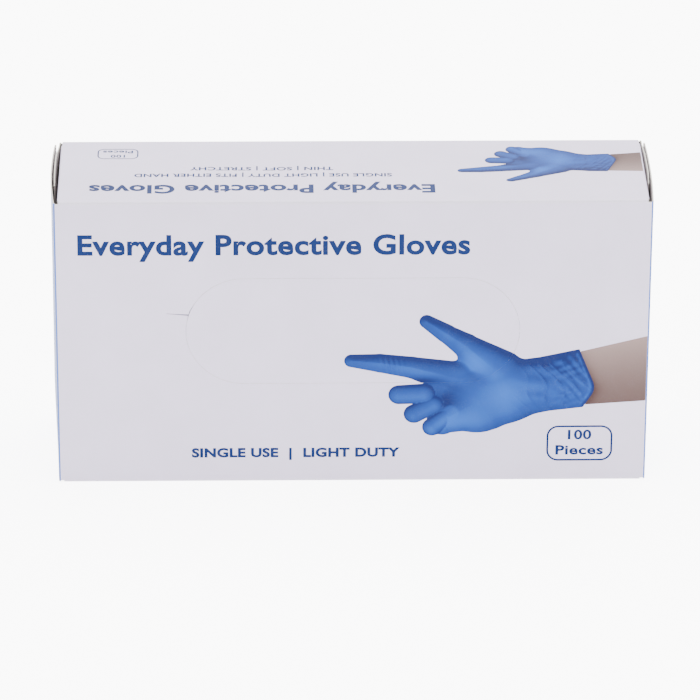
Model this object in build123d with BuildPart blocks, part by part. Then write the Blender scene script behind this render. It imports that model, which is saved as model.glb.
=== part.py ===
"""A dispenser carton of one hundred thin gloves, millimetres, Z up.

The carton lies on a long narrow side. X runs along it, the window faces -Y, and the origin is the
middle of the underside. One sheet of board makes the four walls, the glue tab and the eight end
flaps. Each end closes in three layers: dust flaps from the top and bottom, then the inner flap
from the back, then the printed outer flap from the front.
"""

import os
from math import asin
from math import cos
from math import degrees
from math import pi
from math import radians
from math import sin
from math import tan

from build123d import *

# the carton
box_width = 240.0
box_depth = 60.0
box_height = 126.0
board = 0.45
corner_radius = 0.9

# the end closure
layer_gap = 0.35
crease_clearance = 0.05
flap_side_clearance = 0.5
outer_flap_edge_clearance = 0.8
outer_flap_bow = 1.6
inner_flap_length = 37.0
dust_flap_length = 48.0
dust_wall_clearance = 0.6
dust_taper = 15.0
dust_shoulder = 10.0
dust_shoulder_offset = 2.0
dust_tip_radius = 6.0

# the tear-out window
window_length = 135.0
window_height = 47.2
window_centre = 68.6
cut_gap = 0.12
nick_width = 0.8
nick_clearance = 0.03
nick_pitch = 6.2
slit_length = 9.0
slit_width = 0.15
slit_rise = 7.5

# the side seam
glue_thickness = 0.12
tab_height = 16.0
tab_end_clearance = 6.0
tab_end_angle = 30.0
seam_margin = 3.0
raw_edge_clearance = 0.25

# the glue between inner and outer flaps
glue_spot_radius = 4.5
glue_spot_inset = 9.0
glue_spot_pitch = 34.0
glue_spot_count = 3
glue_spot_clearance = 0.05

# the gloves
glove_count = 100
bundle_size = 10
film_thickness = 0.18
head_space = 5.8
glove_back_clearance = 1.2
glove_end_clearance = 2.0
glove_wall_clearance = 1.4
cuff_taper = 10.0
cuff_length = 88.0
finger_width = 24.0
finger_fan = 4.0
middle_finger = 78.0
index_shortfall = 9.0
ring_shortfall = 6.0
little_shortfall = 22.0
thumb_length = 79.0
thumb_width = 27.0
thumb_rise = 25.45

# levels that the sizes above give
half_width = box_width / 2
half_depth = box_depth / 2
layer_step = board + layer_gap
front_end = half_width - board - crease_clearance
back_end = front_end - layer_step
side_end = back_end - layer_step
outer_hinge_x = half_width - board / 2
inner_hinge_x = outer_hinge_x - layer_step
dust_hinge_x = inner_hinge_x - layer_step
inner_face = half_depth - board
tab_outer_face = inner_face - glue_thickness
flap_height = box_height - 2 * flap_side_clearance

SIDES = (("left", -1), ("right", 1))


def save(name, part):
    """Label a finished piece and write it out."""
    part.label = name
    export_step(part, f"parts/{name}.step")


def wall_section(depth, middle, low, high):
    """Draw the cut face of the carton's sleeve between two heights, on the open sketch."""
    with Locations((middle, box_height / 2)):
        RectangleRounded(depth, box_height, corner_radius)
        RectangleRounded(depth - 2 * board, box_height - 2 * board, corner_radius - board,
                         mode=Mode.SUBTRACT)
    with Locations((middle, (low + high) / 2)):
        Rectangle(depth, high - low, mode=Mode.INTERSECT)


def front_panel():
    """Front wall, with the window's hole and the small slit that starts the tear."""
    with BuildPart() as panel:
        with BuildSketch(Plane.XZ.offset(half_depth)):
            with Locations((0, box_height / 2)):
                Rectangle(2 * front_end, box_height - 2 * corner_radius)
            with Locations((0, window_centre)):
                SlotOverall(window_length, window_height, mode=Mode.SUBTRACT)
            end_radius = window_height / 2
            slit_start = window_length / 2 - end_radius * (1 - cos(asin(slit_rise / end_radius)))
            with Locations((-slit_start - slit_length / 2 + slit_width, window_centre + slit_rise)):
                Rectangle(slit_length, slit_width, mode=Mode.SUBTRACT)
        extrude(amount=-board)
    return panel.part


def window_panel():
    """Tear-out oval, held by small uncut nicks all round its edge."""
    length = window_length - 2 * cut_gap
    height = window_height - 2 * cut_gap
    straight = length - height
    nick_depth = 2 * (cut_gap - nick_clearance)
    along = int(straight / nick_pitch)
    around = int(pi * height / 2 / nick_pitch)
    with BuildPart() as panel:
        with BuildSketch(Plane.XZ.offset(half_depth)):
            with Locations((0, window_centre)):
                SlotOverall(length, height)
                with GridLocations(straight / along, height, along, 2):
                    Rectangle(nick_width, nick_depth)
            for end, start in ((-1, 90), (1, -90)):
                with Locations((end * straight / 2, window_centre)):
                    with PolarLocations(height / 2, around, start + 90 / around, 180):
                        Rectangle(nick_depth, nick_width)
        extrude(amount=-board)
    return panel.part


def back_panel():
    """Back wall, whose lower cut edge covers the glue tab."""
    with BuildPart() as panel:
        top = box_height - corner_radius
        with BuildSketch(Plane.XZ.offset(-half_depth)):
            with Locations((0, (raw_edge_clearance + top) / 2)):
                Rectangle(2 * back_end, top - raw_edge_clearance)
        extrude(amount=board)
    return panel.part


def top_panel():
    """Upper narrow wall with the two rounded creases at its edges."""
    with BuildPart() as panel:
        with BuildSketch(Plane.YZ):
            wall_section(box_depth, 0, box_height - corner_radius, box_height)
        extrude(amount=side_end, both=True)
    return panel.part


def bottom_panel():
    """Lower narrow wall; its rear crease turns up inside the back wall."""
    depth = half_depth + tab_outer_face
    middle = (tab_outer_face - half_depth) / 2
    with BuildPart() as panel:
        with BuildSketch(Plane.YZ):
            wall_section(depth, middle, 0, corner_radius)
        extrude(amount=side_end, both=True)
    return panel.part


def glue_tab():
    """Long tab behind the back wall, with slanted ends."""
    half_tab = side_end - tab_end_clearance
    slant = tab_height * tan(radians(tab_end_angle))
    with BuildPart() as tab:
        with BuildSketch(Plane.XZ.offset(-tab_outer_face)):
            with BuildLine():
                Polyline((-half_tab, corner_radius), (half_tab, corner_radius),
                         (half_tab - slant, corner_radius + tab_height),
                         (slant - half_tab, corner_radius + tab_height), close=True)
            make_face()
        extrude(amount=board)
    return tab.part


def seam_glue():
    """Film of glue that holds the tab to the back wall."""
    slant = tab_height * tan(radians(tab_end_angle))
    length = 2 * (side_end - tab_end_clearance - slant - seam_margin)
    with BuildPart() as glue:
        with BuildSketch(Plane.XZ.offset(-inner_face)):
            with Locations((0, corner_radius + tab_height / 2)):
                RectangleRounded(length, tab_height - 2 * seam_margin, seam_margin)
        extrude(amount=glue_thickness)
    return glue.part


def outer_flap(side):
    """Printed end flap, bowed outwards, with its fold on the front wall's end."""
    fold = (side * outer_hinge_x, board / 2 - half_depth)
    free = (side * outer_hinge_x, half_depth - outer_flap_edge_clearance)
    with BuildPart() as flap:
        with BuildSketch(Plane.XY.offset(flap_side_clearance)):
            bow = SagittaArc(fold, free, -side * outer_flap_bow, mode=Mode.PRIVATE)
            SlotArc(bow, board)
        extrude(amount=flap_height)
    return flap.part


def inner_flap(side):
    """Plain end flap under the printed one, with its fold on the back wall's end."""
    with BuildPart() as flap:
        with BuildSketch(Plane.XY.offset(flap_side_clearance)):
            middle = half_depth - board / 2 - inner_flap_length / 2
            with Locations((side * inner_hinge_x, middle)):
                SlotCenterToCenter(inner_flap_length, board, rotation=90)
        extrude(amount=flap_height)
    return flap.part


def dust_flap(side, upper):
    """Innermost end flap, folded from the top or the bottom and cut back along both edges."""
    direction = -1 if upper else 1
    fold_height = box_height - board / 2 if upper else board / 2
    root = fold_height - direction * board
    half_root = inner_face - glue_thickness - board - dust_wall_clearance
    lean = tan(radians(dust_taper))
    tip = fold_height + direction * dust_flap_length
    shoulder = fold_height + direction * dust_shoulder
    rear_root = half_root - dust_shoulder_offset
    rear_shoulder = rear_root - dust_shoulder
    rear_tip = rear_shoulder - lean * (dust_flap_length - dust_shoulder)
    front_tip = lean * dust_flap_length - half_root
    with BuildPart() as flap:
        with BuildSketch(Plane.XZ):
            with Locations((side * dust_hinge_x, fold_height + direction * dust_flap_length / 2)):
                SlotCenterToCenter(dust_flap_length, board, rotation=90)
        extrude(amount=half_root, both=True)
        with BuildSketch(Plane.YZ):
            with BuildLine():
                Polyline((-half_root, root), (-half_root, fold_height), (front_tip, tip),
                         (rear_tip, tip), (rear_shoulder, shoulder), (rear_root, fold_height),
                         (rear_root, root), close=True)
            make_face()
            corners = vertices().sort_by(Axis.Y)
            fillet(corners[:2] if upper else corners[-2:], dust_tip_radius)
        extrude(amount=box_width, both=True, mode=Mode.INTERSECT)
    return flap.part


def glue_spots(side):
    """Column of glue spots on the inner flap, next to the outer flap's free edge."""
    outer_face = inner_hinge_x + board / 2
    plane = Plane(origin=(side * outer_face, half_depth - glue_spot_inset, box_height / 2),
                  x_dir=(0, 1, 0), z_dir=(side, 0, 0))
    with BuildPart() as spots:
        with BuildSketch(plane):
            with GridLocations(glue_spot_pitch, glue_spot_pitch, 1, glue_spot_count):
                Circle(glue_spot_radius)
        extrude(amount=layer_gap - glue_spot_clearance)
    return spots.part


def finger(root, width, reach, angle):
    """Draw one round-tipped finger from its root to the middle of its tip, on the open sketch."""
    middle = (root[0] + cos(radians(angle)) * reach / 2, root[1] + sin(radians(angle)) * reach / 2)
    with Locations(middle):
        SlotCenterToCenter(reach, width, rotation=angle)


def glove_outline():
    """Flat outline of a glove: cuff edge on the Y axis, fingers towards +X, thumb towards +Y."""
    glove_length = 2 * (dust_hinge_x - board / 2 - glove_end_clearance)
    knuckles = glove_length - middle_finger
    root = knuckles - finger_width / 2
    shortfalls = (little_shortfall, ring_shortfall, 0, index_shortfall)
    little_spread = (middle_finger - little_shortfall) * sin(radians(1.5 * finger_fan))
    room = box_height - 2 * board - 2 * glove_wall_clearance
    palm_width = room - little_spread - thumb_rise + cuff_taper / 2
    cuff_width = palm_width - cuff_taper
    pitch = (palm_width - finger_width) / 3
    thumb_root = cuff_width / 2 - thumb_width / 2
    thumb_angle = degrees(asin(thumb_rise / thumb_length))
    with BuildSketch() as outline:
        with BuildLine():
            Polyline((0, -cuff_width / 2), (cuff_length, -cuff_width / 2),
                     (knuckles, -palm_width / 2), (knuckles, palm_width / 2),
                     (cuff_length, cuff_width / 2), (0, cuff_width / 2), close=True)
        make_face()
        for place, shortfall in enumerate(shortfalls):
            step = place - 1.5
            finger((root, step * pitch), finger_width, middle_finger - shortfall, step * finger_fan)
        finger((cuff_length, thumb_root), thumb_width, thumb_length, thumb_angle)
    return outline.sketch


def glove_bundle(first, outline):
    """Ten flat gloves, one behind the other, with cuffs at alternate ends."""
    front_face = inner_face - head_space
    stack_depth = front_face + inner_face - glue_thickness - board - glove_back_clearance
    pitch = (stack_depth - film_thickness) / (glove_count - 1)
    box = outline.bounding_box()
    middle = box.center()
    floor = board + glove_wall_clearance
    with BuildPart() as bundle:
        for place in range(first, first + bundle_size):
            turn = 180 * (place % 2)
            across = floor + box.size.Y / 2
            with BuildSketch(Plane.XZ.offset(front_face - place * pitch)):
                with Locations(Location((0, across), turn)):
                    add(outline.moved(Location((-middle.X, -middle.Y))))
            extrude(amount=-film_thickness)
    return bundle.part


os.makedirs("parts", exist_ok=True)
save("front_panel", front_panel())
save("window_panel", window_panel())
save("back_panel", back_panel())
save("top_panel", top_panel())
save("bottom_panel", bottom_panel())
save("glue_tab", glue_tab())
save("seam_glue", seam_glue())
for side_name, side_sign in SIDES:
    save(f"{side_name}_outer_flap", outer_flap(side_sign))
    save(f"{side_name}_inner_flap", inner_flap(side_sign))
    save(f"{side_name}_top_dust_flap", dust_flap(side_sign, upper=True))
    save(f"{side_name}_bottom_dust_flap", dust_flap(side_sign, upper=False))
    save(f"{side_name}_glue_spots", glue_spots(side_sign))
flat_glove = glove_outline()
for first_glove in range(0, glove_count, bundle_size):
    last_glove = first_glove + bundle_size
    save(f"gloves_{first_glove + 1:02d}_{last_glove:02d}", glove_bundle(first_glove, flat_glove))
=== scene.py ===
"""A glove dispenser carton: creased board walls, tear-out window, end flaps, print and gloves.

The file is laid out as an add-on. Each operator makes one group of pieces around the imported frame,
and main() calls them in order. Sizes are metres. X runs along the carton, the window faces -Y.
"""

import math

import bmesh
import bpy
import numpy as np
from mathutils import Matrix
from mathutils import Vector
from mathutils import noise
from mathutils.geometry import delaunay_2d_cdt


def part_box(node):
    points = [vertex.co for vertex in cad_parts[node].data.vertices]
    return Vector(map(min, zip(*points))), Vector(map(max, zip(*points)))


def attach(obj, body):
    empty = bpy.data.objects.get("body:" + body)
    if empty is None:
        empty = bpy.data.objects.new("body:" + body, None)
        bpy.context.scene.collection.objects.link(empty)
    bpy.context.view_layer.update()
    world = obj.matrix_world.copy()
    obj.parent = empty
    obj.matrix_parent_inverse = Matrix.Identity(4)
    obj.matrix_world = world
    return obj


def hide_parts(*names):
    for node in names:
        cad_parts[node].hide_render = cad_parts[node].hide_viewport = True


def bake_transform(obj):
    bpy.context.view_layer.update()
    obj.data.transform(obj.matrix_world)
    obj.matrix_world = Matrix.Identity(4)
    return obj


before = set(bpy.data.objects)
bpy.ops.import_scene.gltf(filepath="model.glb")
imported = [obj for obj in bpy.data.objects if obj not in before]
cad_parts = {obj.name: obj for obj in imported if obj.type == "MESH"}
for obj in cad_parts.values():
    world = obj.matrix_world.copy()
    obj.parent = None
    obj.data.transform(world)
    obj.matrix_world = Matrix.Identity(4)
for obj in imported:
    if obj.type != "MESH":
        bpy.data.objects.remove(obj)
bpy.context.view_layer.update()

bl_info = {
    "name": "Glove dispenser carton",
    "version": (1, 0, 0),
    "blender": (4, 5, 0),
    "location": "View3D > Sidebar > Glove carton",
    "description": "Builds a creased board carton with a tear-out window and its gloves",
    "category": "Object",
}

MM = 0.001


def corners_of(node):
    """The low and the high corner of a node's box in the frame."""
    return tuple(Vector(corner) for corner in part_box(node))


# places that the frame gives
FRONT_LOW, FRONT_HIGH = corners_of("front_panel")
BACK_LOW, BACK_HIGH = corners_of("back_panel")
TOP_LOW, TOP_HIGH = corners_of("top_panel")
BOTTOM_LOW, BOTTOM_HIGH = corners_of("bottom_panel")
WINDOW_LOW, WINDOW_HIGH = corners_of("window_panel")
TAB_LOW, TAB_HIGH = corners_of("glue_tab")
BOARD = FRONT_HIGH.y - FRONT_LOW.y
FRONT_Y = FRONT_LOW.y
BACK_Y = BACK_HIGH.y
TOP_Z = TOP_HIGH.z
CORNER = TOP_Z - FRONT_HIGH.z
END_X = FRONT_HIGH.x + BOARD + 0.05 * MM
MIDDLE_Z = TOP_Z / 2
WINDOW_Z = (WINDOW_LOW.z + WINDOW_HIGH.z) / 2
WINDOW_LENGTH = WINDOW_HIGH.x - WINDOW_LOW.x
WINDOW_HEIGHT = WINDOW_HIGH.z - WINDOW_LOW.z
SIDES = (("left", -1), ("right", 1))


class CartonSettings(bpy.types.PropertyGroup):
    """Sizes of the board and its folds."""

    wall_bulge: bpy.props.FloatProperty(
        name="Wall bulge", description="How far the large walls swell at their middle",
        default=0.5 * MM, unit="LENGTH", subtype="DISTANCE")
    narrow_sag: bpy.props.FloatProperty(
        name="Narrow wall sag", description="How far the narrow walls dip at their middle",
        default=0.25 * MM, unit="LENGTH", subtype="DISTANCE")
    fold_radius: bpy.props.FloatProperty(
        name="Fold radius", description="Outer radius of the end flaps' folds",
        default=0.7 * MM, unit="LENGTH", subtype="DISTANCE")
    left_bow: bpy.props.FloatProperty(
        name="Left flap bow", description="How far the left outer flap swells",
        default=1.75 * MM, unit="LENGTH", subtype="DISTANCE")
    right_bow: bpy.props.FloatProperty(
        name="Right flap bow", description="How far the right outer flap swells",
        default=1.0 * MM, unit="LENGTH", subtype="DISTANCE")
    rear_flare: bpy.props.FloatProperty(
        name="Rear flare", description="How far the left outer flap's free edge stands off",
        default=0.9 * MM, unit="LENGTH", subtype="DISTANCE")
    cut_gap: bpy.props.FloatProperty(
        name="Cut gap", description="Width of the cut round the tear-out window",
        default=0.08 * MM, unit="LENGTH", subtype="DISTANCE")
    nick_pitch: bpy.props.FloatProperty(
        name="Nick pitch", description="Distance between the uncut nicks of the window",
        default=6.2 * MM, unit="LENGTH", subtype="DISTANCE")


class PrintSettings(bpy.types.PropertyGroup):
    """Words and colours of the print."""

    title: bpy.props.StringProperty(
        name="Title", description="Large line on the front and the top",
        default="Everyday Protective Gloves")
    front_line: bpy.props.StringProperty(
        name="Front line", description="Small line at the foot of the front",
        default="SINGLE USE  |  LIGHT DUTY")
    long_line: bpy.props.StringProperty(
        name="Long line", description="First small line on the top",
        default="SINGLE USE | LIGHT DUTY | FITS EITHER HAND")
    short_line: bpy.props.StringProperty(
        name="Short line", description="Second small line on the top",
        default="THIN | SOFT | STRETCHY")
    board_colour: bpy.props.FloatVectorProperty(
        name="Board", description="Coated white of the outer face", subtype="COLOR",
        size=3, default=(0.665, 0.60, 0.775))
    ink_colour: bpy.props.FloatVectorProperty(
        name="Ink", description="Blue of the lettering", subtype="COLOR",
        size=3, default=(0.0, 0.0135, 0.088))
    end_colour: bpy.props.FloatVectorProperty(
        name="Ends", description="Blue of the end flaps", subtype="COLOR",
        size=3, default=(0.035, 0.11, 0.46))


class GloveSettings(bpy.types.PropertyGroup):
    """The gloves inside the carton."""

    film_colour: bpy.props.FloatVectorProperty(
        name="Film", description="Blue of the glove film", subtype="COLOR",
        size=3, default=(0.02, 0.085, 0.38))
    ripple: bpy.props.FloatProperty(
        name="Ripple", description="Height of the ripples in the stacked film",
        default=0.5 * MM, unit="LENGTH", subtype="DISTANCE")


class StageSettings(bpy.types.PropertyGroup):
    """Camera and light."""

    lens: bpy.props.FloatProperty(
        name="Lens", description="Focal length of the camera in millimetres", default=266.0)
    yaw: bpy.props.FloatProperty(
        name="Yaw", description="How far the camera turns to the right",
        default=math.radians(1.21), unit="ROTATION", subtype="ANGLE")
    pitch: bpy.props.FloatProperty(
        name="Pitch", description="How far the camera looks down",
        default=math.radians(26.29), unit="ROTATION", subtype="ANGLE")
    roll: bpy.props.FloatProperty(
        name="Roll", description="How far the camera leans",
        default=math.radians(0.28), unit="ROTATION", subtype="ANGLE")
    camera_place: bpy.props.FloatVectorProperty(
        name="Camera place", description="Where the camera stands", size=3,
        default=(-0.0408, -1.9068, 0.9872), unit="LENGTH", subtype="TRANSLATION")


# ---------------------------------------------------------------- meshes

def add_object(name, data):
    """Make an object of the data and put it in the scene."""
    obj = bpy.data.objects.new(name, data)
    bpy.context.scene.collection.objects.link(obj)
    return obj


def evaluated_mesh(obj):
    """A plain mesh of an object, with its modifiers worked in."""
    return bpy.data.meshes.new_from_object(
        obj.evaluated_get(bpy.context.evaluated_depsgraph_get()))


def finish_mesh(name, verts, faces, materials, face_slots=None, merge=0.0):
    """Make an object from points and faces, closed and with its faces turned outwards."""
    mesh = bpy.data.meshes.new(name)
    mesh.from_pydata([tuple(map(float, point)) for point in verts], [], faces)
    for material in materials:
        mesh.materials.append(material)
    if face_slots is not None:
        mesh.polygons.foreach_set("material_index", face_slots)
    work = bmesh.new()
    work.from_mesh(mesh)
    if merge:
        bmesh.ops.remove_doubles(work, verts=work.verts, dist=merge)
    bmesh.ops.recalc_face_normals(work, faces=work.faces)
    work.to_mesh(mesh)
    work.free()
    return add_object(name, mesh)


def smooth(obj, angle=30.0):
    """Shade an object smooth up to an angle."""
    mesh = obj.data
    mesh.polygons.foreach_set("use_smooth", [True] * len(mesh.polygons))
    work = bmesh.new()
    work.from_mesh(mesh)
    for edge in work.edges:
        if len(edge.link_faces) == 2 and edge.calc_face_angle(0) > math.radians(angle):
            edge.smooth = False
    work.to_mesh(mesh)
    work.free()


def place_piece(obj, body, slot, *nodes):
    """Ride a finished piece on its body and hide the nodes it stands for; the slot is not used."""
    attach(obj, body)
    if nodes:
        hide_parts(*nodes)


def slab(name, outer, inner, materials, wrap=False, merge=0.0, wear=None):
    """Make a closed sheet from two grids of points; the first material is on the outer side."""
    rows, columns = outer.shape[:2]
    verts = np.concatenate([outer.reshape(-1, 3), inner.reshape(-1, 3)])
    shift = rows * columns
    last = columns if wrap else columns - 1
    faces = []
    slots = []
    for row in range(rows - 1):
        for column in range(last):
            right = (column + 1) % columns
            a, b = row * columns + column, row * columns + right
            c, d = b + columns, a + columns
            faces += [(a, b, c, d), (d + shift, c + shift, b + shift, a + shift)]
            slots += [0, 1]
    edges = [(row * columns + c, row * columns + (c + 1) % columns)
             for row in (0, rows - 1) for c in range(last)]
    if not wrap:
        edges += [(r * columns + column, (r + 1) * columns + column)
                  for column in (0, columns - 1) for r in range(rows - 1)]
    faces += [(a, b, b + shift, a + shift) for a, b in edges]
    slots += [1] * len(edges)
    obj = finish_mesh(name, verts, faces, materials, slots, merge)
    if wear is not None:
        mark_wear(obj, wear)
    smooth(obj)
    return obj


def mark_wear(obj, wear):
    """Store on each point how close it is to a fold or an edge, from 0 to 1."""
    points = np.array([tuple(v.co) for v in obj.data.vertices])
    layer = obj.data.attributes.new("wear", "FLOAT", "POINT")
    layer.data.foreach_set("value", np.clip(wear(points), 0, 1).astype(np.float32))


def spread(low, high, count, fine=(0.3 * MM, 0.8 * MM, 1.8 * MM, 4 * MM)):
    """Even steps from low to high, with finer ones next to both ends."""
    steps = list(np.linspace(low + fine[-1], high - fine[-1], count))
    return np.array([low] + [low + f for f in fine[:-1]] + steps
                    + [high - f for f in reversed(fine[:-1])] + [high])


def ripple(u, v, scale, seed):
    """Smooth noise between about -1 and 1 at each pair of coordinates."""
    flat = [noise.noise((float(a) * scale, float(b) * scale, seed))
            for a, b in zip(np.ravel(u), np.ravel(v))]
    return np.array(flat).reshape(np.shape(u)) * 2


def dome(u, v, half_u, half_v):
    """Height of a cushion-like swell, 1 in the middle and 0 at the edges."""
    return np.cos(np.clip(u / half_u, -1, 1) * math.pi / 2) ** 0.8 \
        * np.cos(np.clip(v / half_v, -1, 1) * math.pi / 2) ** 0.8


# ---------------------------------------------------------------- where the faces lie

def wall_swell(x, z, seed):
    """How far a large wall stands out at a place."""
    amount = bpy.context.scene.carton.wall_bulge
    shape = dome(x, z - MIDDLE_Z, END_X, MIDDLE_Z)
    return amount * shape * (1 + 0.35 * ripple(x, z, 22.0, seed))


def on_front(u, v, w):
    """A place on the front wall's outer face; w stands out of it."""
    return np.stack([u, FRONT_Y - wall_swell(u, v, 1.5) - w, v], axis=-1)


def on_back(u, v, w):
    """A place on the back wall, seen from behind."""
    return np.stack([-u, BACK_Y + wall_swell(u, v, 4.5) + w, v], axis=-1)


def narrow_dip(u, v):
    """How far a narrow wall dips at a place."""
    dip = bpy.context.scene.carton.narrow_sag * dome(u, v, END_X, BACK_Y)
    return dip * (1 + 0.3 * ripple(u, v, 30.0, 7.5))


def on_top(u, v, w):
    """A place on the top wall, seen from the back, with v towards the front."""
    return np.stack([-u, -v, TOP_Z - narrow_dip(u, v) + w], axis=-1)


def soft_step(share):
    """A rise from 0 to 1 that starts and ends level."""
    share = np.clip(share, 0, 1)
    return share * share * (3 - 2 * share)


def flap_bow(side, y, z):
    """How far an outer flap stands out at a place."""
    carton = bpy.context.scene.carton
    amount = carton.left_bow if side < 0 else carton.right_bow
    along = np.clip((y - FRONT_Y) / (BACK_Y - FRONT_Y), 0, 1)
    height = np.clip(z / TOP_Z, 0, 1)
    arch = 4 * along * (1 - along)
    foot = soft_step(height / 0.3)
    flare = carton.rear_flare * along ** 2 * (0.3 + 0.7 * height) * (1.0 if side < 0 else 0.4)
    return amount * arch * (0.45 + 0.55 * foot) * (1.15 - 0.25 * height) + flare


def inner_bow(side, y, z):
    """How far an inner flap follows the outer one that it is glued to."""
    return 0.72 * flap_bow(side, y, z) * soft_step((BACK_Y - y) / (14 * MM))


def on_end(side):
    """Give the place function of one end, seen from outside."""
    def place(u, v, w):
        y = side * u
        return np.stack([side * (END_X + flap_bow(side, y, v) + w), y, v], axis=-1)
    return place


# ---------------------------------------------------------------- shapes as distances

def capsule(u, v, start, end, start_radius, end_radius):
    """Distance to a tapered round bar, and the height of its rounded back."""
    along_u, along_v = end[0] - start[0], end[1] - start[1]
    part = ((u - start[0]) * along_u + (v - start[1]) * along_v) / (along_u ** 2 + along_v ** 2)
    part = np.clip(part, 0, 1)
    radius = start_radius + (end_radius - start_radius) * part
    away = np.hypot(u - start[0] - part * along_u, v - start[1] - part * along_v)
    return away - radius, np.sqrt(np.maximum(radius ** 2 - away ** 2, 0))


def rounded_box(u, v, half_u, half_v, radius):
    """Distance to a rectangle with round corners about the middle."""
    out_u = np.abs(u) - half_u + radius
    out_v = np.abs(v) - half_v + radius
    return np.hypot(np.maximum(out_u, 0), np.maximum(out_v, 0)) \
        + np.minimum(np.maximum(out_u, out_v), 0) - radius


def window_distance(x, z):
    """Distance to the edge of the tear-out oval."""
    return rounded_box(x, z - WINDOW_Z, WINDOW_LENGTH / 2, WINDOW_HEIGHT / 2, WINDOW_HEIGHT / 2)


def soft_union(first, second, width):
    """Join two distances with a rounded seam."""
    mix = np.clip(0.5 + 0.5 * (second - first) / width, 0, 1)
    return second + (first - second) * mix - width * mix * (1 - mix)


def film(name, distance, region, cell, place, thickness, materials, tone=None, lift=0.0):
    """Make a thin closed sheet of the shape where the distance is below zero."""
    (low_u, high_u), (low_v, high_v) = region
    u_steps = np.linspace(low_u, high_u, max(3, round((high_u - low_u) / cell) + 1))
    v_steps = np.linspace(low_v, high_v, max(3, round((high_v - low_v) / cell) + 1))
    u, v = np.meshgrid(u_steps, v_steps)
    centre_u = (u[1:, 1:] + u[:-1, :-1]) / 2
    centre_v = (v[1:, 1:] + v[:-1, :-1]) / 2
    kept = distance(centre_u, centre_v) < 0
    padded = np.pad(kept, 1)
    touching = (padded[1:, 1:].astype(int) + padded[:-1, 1:] + padded[1:, :-1] + padded[:-1, :-1])
    rim = (touching > 0) & (touching < 4)
    probe = cell * 0.1
    for _ in range(2):
        here = distance(u, v)
        slope_u = (distance(u + probe, v) - distance(u - probe, v)) / (2 * probe)
        slope_v = (distance(u, v + probe) - distance(u, v - probe)) / (2 * probe)
        steep = np.maximum(slope_u ** 2 + slope_v ** 2, 0.25)
        u = np.where(rim, u - here * slope_u / steep, u)
        v = np.where(rim, v - here * slope_v / steep, v)
    used = touching > 0
    number = np.cumsum(used.ravel()).reshape(used.shape) - 1
    count = int(used.sum())
    quads = []
    links = {}
    for row, column in zip(*np.nonzero(kept)):
        loop = (number[row, column], number[row, column + 1],
                number[row + 1, column + 1], number[row + 1, column])
        loop = tuple(int(i) for i in loop)
        quads.append(loop)
        for a, b in zip(loop, loop[1:] + loop[:1]):
            if (b, a) in links:
                del links[(b, a)]
            else:
                links[(a, b)] = True
    faces = quads + [tuple(i + count for i in reversed(quad)) for quad in quads]
    faces += [(b, a, a + count, b + count) for a, b in links]
    flat_u, flat_v = u[used], v[used]
    verts = np.concatenate([place(flat_u, flat_v, lift + thickness), place(flat_u, flat_v, lift)])
    obj = finish_mesh(name, verts, faces, materials)
    if tone is not None:
        colours = tone(flat_u, flat_v)
        rgba = np.ones((2 * count, 4), dtype=np.float32)
        rgba[:count, :3] = colours
        rgba[count:, :3] = colours
        layer = obj.data.color_attributes.new("print", "FLOAT_COLOR", "POINT")
        layer.data.foreach_set("color", rgba.ravel())
    smooth(obj)
    return obj


# ---------------------------------------------------------------- materials

def start_group(name, inputs, outputs):
    """Begin a shader node group with named sockets."""
    tree = bpy.data.node_groups.new(name, "ShaderNodeTree")
    for title, kind, value in inputs:
        socket = tree.interface.new_socket(title, in_out="INPUT", socket_type=kind)
        socket.default_value = value
    for title, kind in outputs:
        tree.interface.new_socket(title, in_out="OUTPUT", socket_type=kind)
    return tree, tree.nodes.new("NodeGroupInput"), tree.nodes.new("NodeGroupOutput")


def noise_node(tree, coordinates, scale, detail=3.0, roughness=0.55):
    """Add a noise texture on the given coordinates."""
    node = tree.nodes.new("ShaderNodeTexNoise")
    node.inputs["Scale"].default_value = scale
    node.inputs["Detail"].default_value = detail
    node.inputs["Roughness"].default_value = roughness
    tree.links.new(coordinates, node.inputs["Vector"])
    return node.outputs["Fac"]


def map_range(tree, value, from_low, from_high, to_low=0.0, to_high=1.0):
    """Add a clamped map range node."""
    node = tree.nodes.new("ShaderNodeMapRange")
    for title, number in (("From Min", from_low), ("From Max", from_high),
                          ("To Min", to_low), ("To Max", to_high)):
        node.inputs[title].default_value = number
    tree.links.new(value, node.inputs["Value"])
    return node.outputs["Result"]


def math_node(tree, operation, first, second):
    """Add a math node; each input is a socket or a number."""
    node = tree.nodes.new("ShaderNodeMath")
    node.operation = operation
    for socket, value in zip(node.inputs, (first, second)):
        if isinstance(value, (int, float)):
            socket.default_value = value
        else:
            tree.links.new(value, socket)
    return node.outputs["Value"]


def mix_colour(tree, mask, first, second):
    """Add a colour mix; each colour is a socket or three numbers."""
    node = tree.nodes.new("ShaderNodeMix")
    node.data_type = "RGBA"
    if isinstance(mask, (int, float)):
        node.inputs["Factor"].default_value = mask
    else:
        tree.links.new(mask, node.inputs["Factor"])
    for socket, value in zip((node.inputs[6], node.inputs[7]), (first, second)):
        if hasattr(value, "links"):
            tree.links.new(value, socket)
        else:
            socket.default_value = (*value, 1.0)
    return node.outputs[2]


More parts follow.
